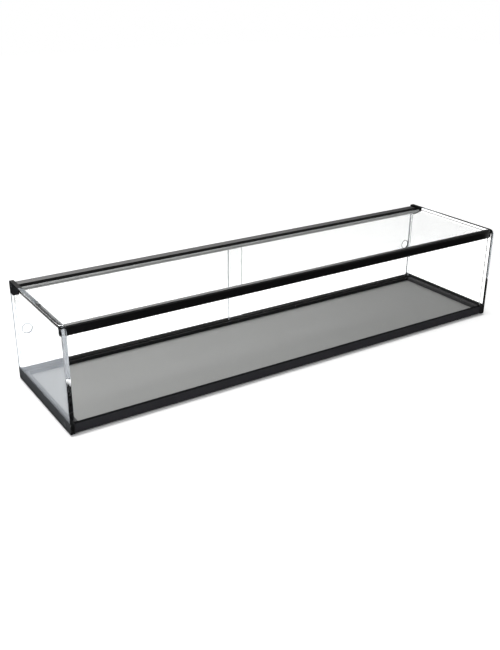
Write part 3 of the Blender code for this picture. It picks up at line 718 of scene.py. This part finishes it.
@dataclass
class SideGlasses:
    """The two end panes with their rounded front corners and countersunk screw holes."""

    front_radius: float = 0.011
    corner_radius: float = 0.002
    arris: float = 0.0008
    hole_radius: float = 0.0019
    sink_margin: float = 0.0004
    seal_reach: float = 0.013
    backing_rise: float = 0.005

    def holes(self, side: str) -> list[Hole]:
        """Place a hole at each of the side's screws.

        Args:
            side: left or right.

        Returns:
            The holes, countersunk from outside.
        """
        holes = []
        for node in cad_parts:
            if node.startswith(f"screw_{side}"):
                low, high = corners(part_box(node))
                centre = (low + high) / 2
                sink = (high.z - low.z) / 2 - self.hole_radius + self.sink_margin
                holes.append(Hole((centre.y, centre.z), self.hole_radius, sink, side == "right"))
        return holes

    def backing_top(self) -> float:
        """Return the level up to which the panes are backed."""
        return Vector(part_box("base_front_rail")[1]).z + self.backing_rise

    def ground_rear(self, side: str) -> Patch:
        """Return a side's rear edge between the backing and the end cap, which is ground."""
        high = corners(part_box(f"{side}_side_glass"))[1]
        cap_low = corners(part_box(f"{side}_rail_end_cap"))[0]
        base = self.backing_top()
        inner = high.y - self.arris
        outer = (high + Vector((0.0, self.arris, self.arris))).y
        return Patch(
            Surface.GROUND, ((inner, base), (outer, base), (outer, cap_low.z), (inner, cap_low.z))
        )

    def backed_strip(self, side: str) -> Patch:
        """Return a side's strip along the base frame, which is backed."""
        low, high = corners(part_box(f"{side}_side_glass"))
        base = self.backing_top()
        return Patch(
            Surface.BACKED, ((low.y, low.z), (high.y, low.z), (high.y, base), (low.y, base))
        )

    def sealed_front(self, side: str) -> Patch:
        """Return what the front top rail's end covers, as far behind its screw as before it."""
        low, high = corners(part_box("front_top_rail"))
        port_low, port_high = corners(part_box(f"screw_{side}_front_top"))
        back = port_low.y + port_high.y - low.y
        return Patch(
            Surface.SEALED, ((low.y, low.z), (back, low.z), (back, high.z), (low.y, high.z))
        )

    def sealed_cap(self, side: str) -> Patch:
        """Return what the rear top rail's end and cap cover, further forward on the left."""
        glass_high = corners(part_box(f"{side}_side_glass"))[1]
        cap_low, cap_high = corners(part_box(f"{side}_rail_end_cap"))
        door_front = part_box("top_door_track")[0][1]
        rail_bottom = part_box("rear_top_rail")[0][2]
        beyond = glass_high + Vector((0.0, self.arris, self.arris))
        front = cap_low.y - (self.seal_reach if side == "left" else 0.0)
        slope_top = (rail_bottom + cap_high.z) / 2
        return Patch(Surface.SEALED, (
            (door_front, cap_low.z), (beyond.y, cap_low.z), (beyond.y, beyond.z),
            (front, beyond.z), (front, slope_top),
        ))

    def build(self) -> None:
        """Build both panes."""
        radii = (self.corner_radius, self.corner_radius, self.corner_radius, self.front_radius)
        for side in ("left", "right"):
            patches = [
                self.ground_rear(side), self.backed_strip(side),
                self.sealed_front(side), self.sealed_cap(side),
            ]
            Pane(
                name=f"{side}_end_pane", node=f"{side}_side_glass", body="case",
                across=Across.LENGTH, radii=radii, holes=self.holes(side), patches=patches,
                arris=self.arris, arris_look=ARRIS_GLASS, ground_look=GROUND_EDGE_GLASS,
            ).build()


@dataclass
class FixedGlass:
    """The front and the top pane."""

    arris: float = 0.0008

    def build(self) -> None:
        """Build both panes."""
        for name, across, edge in (
            ("front", Across.DEPTH, SHADED_EDGE_GLASS), ("top", Across.HEIGHT, SEAL),
        ):
            Pane(
                name=f"{name}_pane", node=f"{name}_glass", body="case", across=across,
                arris=self.arris, edge_look=edge, arris_look=edge,
            ).build()


@dataclass
class SlidingDoors:
    """The two rear doors, each with a finger hole near its outer edge."""

    finger_radius: float = 0.009
    finger_inset: float = 0.0175
    finger_chamfer: float = 0.0012
    arris: float = 0.0004

    def build(self) -> None:
        """Build both doors."""
        for side, outward in (("left", -1), ("right", 1)):
            node = f"{side}_door_glass"
            low, high = corners(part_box(node))
            outer = low.x if outward < 0 else high.x
            centre = (outer - outward * self.finger_inset, (low.z + high.z) / 2)
            hole = Hole(centre, self.finger_radius, self.finger_chamfer, sink_both=True)
            Pane(
                name=f"{side}_door_pane", node=node, body=f"{side}_door", across=Across.DEPTH,
                holes=[hole], arris=self.arris,
                edge_look=GROUND_EDGE_GLASS, arris_look=GROUND_EDGE_GLASS,
            ).build()


@dataclass
class Frame:
    """The CAD pieces that keep their shape, and the finish of each by the start of its name."""

    finishes: dict[str, Finish] = field(default_factory=lambda: {
        "front_top_rail": TOP_RAIL,
        "rear_top_rail": REAR_RAIL,
        "rear_rail_cover_strip": COVER,
        "base_front_rail": BASE,
        "base_rear_rail": INNER_BASE_PAINTED_SHADE,
        "left_base_rail": SIDE_BASE_PAINTED_LIT,
        "right_base_rail": SIDE_BASE_PAINTED_LIT,
        "floor_panel": FLOOR,
        "floor_stiffener": BASE,
        "corner_block": PLASTIC,
        "top_door_track": PLASTIC,
        "bottom_door_track": PLASTIC,
        "left_rail_end_cap": PLASTIC,
        "right_rail_end_cap": PLASTIC,
        "door_stop": RUBBER,
        "setting_block": RUBBER,
        "foot_": RUBBER,
        "front_glazing_strip": TAPE,
        "rear_glazing_strip": TAPE,
        "screw_": SCREW,
    })

    def dress(self) -> None:
        """Give every CAD node that shows its finish."""
        for name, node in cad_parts.items():
            for start, finish in self.finishes.items():
                if name.startswith(start):
                    for slot in node.material_slots:
                        slot.material = material_of(finish)
                    LOG.info("%s is %s", name, finish.name)


@dataclass(frozen=True)
class Lamp:
    """A soft rectangular lamp that the camera doesn't see."""

    name: str
    place: Place
    aim: Place
    size: tuple[float, float]
    watts: float
    gloss_only: bool = False

    def hang(self) -> None:
        """Add the lamp, either to light the scene or to make highlights only."""
        light = bpy.data.lights.new(self.name, "AREA")
        light.shape = "RECTANGLE"
        light.size, light.size_y = self.size
        light.energy = self.watts
        lamp = bpy.data.objects.new(self.name, light)
        lamp.location = self.place
        ahead = Vector(self.aim) - Vector(self.place)
        lamp.rotation_euler = ahead.to_track_quat("-Z", "Y").to_euler()
        lamp.visible_camera = False
        lamp.visible_transmission = False
        lamp.visible_diffuse = not self.gloss_only
        lamp.visible_glossy = self.gloss_only
        bpy.context.scene.collection.objects.link(lamp)


LAMPS = (
    Lamp("overhead", place=(-0.8, 0.0, 1.5), aim=(-0.5, 0.0, 0.0), size=(1.4, 1.4), watts=10.0),
    Lamp("rear_left", place=(-0.9, 1.2, 1.9), aim=(-0.4, 0.1, 0.2), size=(1.0, 1.0), watts=7.0),
    Lamp(
        "rear_sheen", place=(0.5, 1.6, 1.5), aim=(0.1, 0.0, 0.2), size=(2.0, 0.5), watts=26.0,
        gloss_only=True,
    ),
    Lamp(
        "left_sheen", place=(-0.35, 1.6, 1.5), aim=(-0.45, 0.0, 0.2), size=(0.8, 0.5), watts=12.0,
        gloss_only=True,
    ),
    Lamp(
        "rear_low", place=(0.25, 0.45, 0.005), aim=(0.25, 0.449, 1.0), size=(1.4, 0.6), watts=9.0,
        gloss_only=True,
    ),
)


@dataclass(frozen=True)
class PhotoView:
    """The photograph's camera, with its angles in degrees and its lens in millimetres."""

    name: str = "photo_view"
    eye: Place = (-0.912, -1.296, 0.7318)
    yaw: float = 33.43
    pitch: float = 23.55
    roll: float = -0.46
    lens: float = 45.855
    near: float = 0.01

    def turn(self) -> Matrix:
        """Return the camera's turn in the scene."""
        yaw, pitch, roll = (math.radians(angle) for angle in (self.yaw, self.pitch, self.roll))
        ahead = Vector((
            math.sin(yaw) * math.cos(pitch), math.cos(yaw) * math.cos(pitch), -math.sin(pitch)
        ))
        right = Vector((math.cos(yaw), -math.sin(yaw), 0.0))
        down = ahead.cross(right)
        turned_right = math.cos(roll) * right + math.sin(roll) * down
        turned_down = math.cos(roll) * down - math.sin(roll) * right
        return Matrix((turned_right, -turned_down, -ahead)).transposed().to_4x4()

    def set(self) -> None:
        """Make the camera and look through it."""
        data = bpy.data.cameras.new(self.name)
        data.lens = self.lens
        data.clip_start = self.near
        camera = bpy.data.objects.new(self.name, data)
        camera.matrix_world = Matrix.Translation(self.eye) @ self.turn()
        bpy.context.scene.collection.objects.link(camera)
        bpy.context.scene.camera = camera


@dataclass(frozen=True)
class Rays:
    """Shares that are 1 for rays from the camera, through glass, and mirrored once."""

    camera: Socket
    through: Socket
    mirrored: Socket

    @classmethod
    def of(cls, nodes: NodeTree) -> "Rays":
        """Tell a tree's rays apart.

        Args:
            nodes: The tree to add to.

        Returns:
            The shares.
        """
        path = nodes.add("LightPath").outputs
        once = nodes.add(
            "Math", {0: path["Glossy Depth"], 1: ONE_BOUNCE, 2: HALF_BOUNCE}, operation="COMPARE"
        ).outputs[0]
        plain = nodes.calculate("SUBTRACT", 1.0, path["Is Diffuse Ray"])
        mirrored = nodes.calculate("MULTIPLY", once, plain)
        unmirrored = nodes.calculate("SUBTRACT", 1.0, mirrored)
        through = nodes.calculate("MULTIPLY", path["Is Transmission Ray"], unmirrored)
        return cls(path["Is Camera Ray"], through, mirrored)


@dataclass
class Studio:
    """A white floor and surround, soft lamps and the photograph's camera."""

    floor_half: float = 6.0
    floor_colour: Colour = (0.86, 0.86, 0.86)
    floor_roughness: float = 1.0
    floor_shine: float = 0.0
    # Painted reflections: in mirrored rays the floor is painted dark, but for a pale glowing strip
    # beside the left end that the end pane mirrors
    dark_colour: Colour = (0.03, 0.03, 0.03)
    painted_reflection_place: float = -0.56
    painted_reflection_reach: Span = (0.050, 0.060)
    painted_reflection_glow: float = 0.1
    painted_reflection_colour: Colour = (0.78, 0.83, 0.90)
    # Partly painted shadow: the floor's glow is weaker near the case and cut off at its foot, weighted
    # narrower at the ends; the lamps' real shadow shows through
    near_lift: float = 0.45
    far_lift: float = 0.62
    lift_reach: Span = (0.7, 2.0)
    contact_reach: Span = (0.0, 0.006)
    contact_weights: tuple[float, float] = (4.0, 1.0)
    footprint: tuple[float, float] = (0.5, 0.128)
    fill: float = 0.5
    mirrored_fill: float = 0.04
    in_view: float = 1.0
    behind_glass: float = 1.6
    bounces: int = 20
    lamps: tuple[Lamp, ...] = LAMPS
    view: PhotoView = PhotoView()

    def surround(self) -> None:
        """Make the world: white to the camera and through glass, dim in gloss, and a plain light."""
        world = bpy.data.worlds.new("surround")
        bpy.context.scene.world = world
        nodes = NodeTree(world)
        rays = Rays.of(nodes)
        strength = nodes.mix(Mixed.NUMBER, rays.mirrored, self.fill, self.mirrored_fill)
        strength = nodes.mix(Mixed.NUMBER, rays.through, strength, self.behind_glass)
        strength = nodes.mix(Mixed.NUMBER, rays.camera, strength, self.in_view)
        shade = nodes.add("Background", {"Color": WHITE, "Strength": strength})
        nodes.add("OutputWorld", {"Surface": shade.outputs["Background"]})

    def outside(self, nodes: NodeTree, split: bpy.types.Node) -> Socket:
        """Measure how far a point of the floor is from the case's outline, by weighted steps.

        Args:
            nodes: The tree to add to.
            split: The point's coordinates.

        Returns:
            The distance, 0 under the case.
        """
        squares = []
        for name, half, weight in zip(("X", "Y"), self.footprint, self.contact_weights):
            beyond = nodes.calculate("SUBTRACT", nodes.calculate("ABSOLUTE", split.outputs[name]), half)
            beyond = nodes.calculate("MULTIPLY", nodes.calculate("MAXIMUM", beyond, 0.0), weight)
            squares.append(nodes.calculate("POWER", beyond, 2.0))
        return nodes.calculate("SQRT", nodes.calculate("ADD", *squares))

    def floor_material(self) -> bpy.types.Material:
        """Make the floor's material.

        Returns:
            White, its glow weaker near the case and cut off at its foot, a partly painted shadow; in
            mirrored rays painted dark but for a pale glowing strip beside the left end, painted
            reflections.
        """
        material = bpy.data.materials.new("studio_floor")
        nodes = NodeTree(material)
        rays = Rays.of(nodes)
        point = nodes.add("TexCoord").outputs["Object"]
        split = nodes.add("SeparateXYZ", {"Vector": point})
        length = nodes.add("VectorMath", {0: point}, operation="LENGTH").outputs["Value"]
        # Painted reflection: the strip beside the left end glows and turns pale only in mirrored rays
        offset = nodes.calculate("SUBTRACT", split.outputs["X"], self.painted_reflection_place)
        offset = nodes.calculate("ABSOLUTE", offset)
        off_painted_reflection = nodes.remap(offset, UNIT_SPAN, self.painted_reflection_reach, smooth=True)
        # Partly painted shadow: the glow falls off towards the case and is cut at its outline, so the
        # shadow at the foot is part painted, part the lamps' own
        lift = nodes.remap(length, (self.near_lift, self.far_lift), self.lift_reach, smooth=True)
        clear = nodes.remap(self.outside(nodes, split), UNIT_SPAN, self.contact_reach, smooth=True)
        lift = nodes.calculate("MULTIPLY", lift, clear)
        strip = nodes.mix(Mixed.NUMBER, off_painted_reflection, self.painted_reflection_glow, 0.0)
        behind = nodes.calculate("ADD", lift, self.behind_glass - self.in_view)
        emitted = nodes.mix(Mixed.NUMBER, rays.mirrored, 0.0, strip)
        emitted = nodes.mix(Mixed.NUMBER, rays.through, emitted, behind)
        emitted = nodes.mix(Mixed.NUMBER, rays.camera, emitted, lift)
        # Painted reflections: mirrored rays see the strip's pale colour, and a dark floor off the strip
        glow = nodes.mix(Mixed.COLOUR, rays.mirrored, WHITE, self.painted_reflection_colour)
        colour = nodes.mix(Mixed.COLOUR, rays.mirrored, self.floor_colour, self.painted_reflection_colour)
        dark = nodes.calculate("MULTIPLY", rays.mirrored, off_painted_reflection)
        colour = nodes.mix(Mixed.COLOUR, dark, colour, self.dark_colour)
        shader = nodes.add("BsdfPrincipled", {
            "Base Color": colour, "Roughness": self.floor_roughness,
            "Specular IOR Level": self.floor_shine,
            "Emission Color": glow, "Emission Strength": emitted,
        })
        nodes.add("OutputMaterial", {"Surface": shader.outputs["BSDF"]})
        return material

    def floor(self) -> None:
        """Lay the floor."""
        shape = bmesh.new()
        bmesh.ops.create_grid(shape, x_segments=1, y_segments=1, size=self.floor_half)
        mesh = bpy.data.meshes.new("studio_floor")
        shape.to_mesh(mesh)
        shape.free()
        mesh.materials.append(self.floor_material())
        floor = bpy.data.objects.new("studio_floor", mesh)
        bpy.context.scene.collection.objects.link(floor)

    def build(self) -> None:
        """Set up the studio."""
        scene = bpy.context.scene
        scene.view_settings.view_transform = "Standard"
        scene.cycles.max_bounces = self.bounces
        scene.cycles.glossy_bounces = self.bounces
        scene.cycles.transmission_bounces = self.bounces
        scene.cycles.transparent_max_bounces = self.bounces
        self.surround()
        self.floor()
        for lamp in self.lamps:
            lamp.hang()
        self.view.set()


def main() -> None:
    """Build the case's looks and the studio in order."""
    logging.basicConfig(level=logging.INFO, format="%(name)s: %(message)s")
    SideGlasses().build()
    FixedGlass().build()
    SlidingDoors().build()
    Frame().dress()
    Studio().build()


if __name__ == "__main__":
    main()
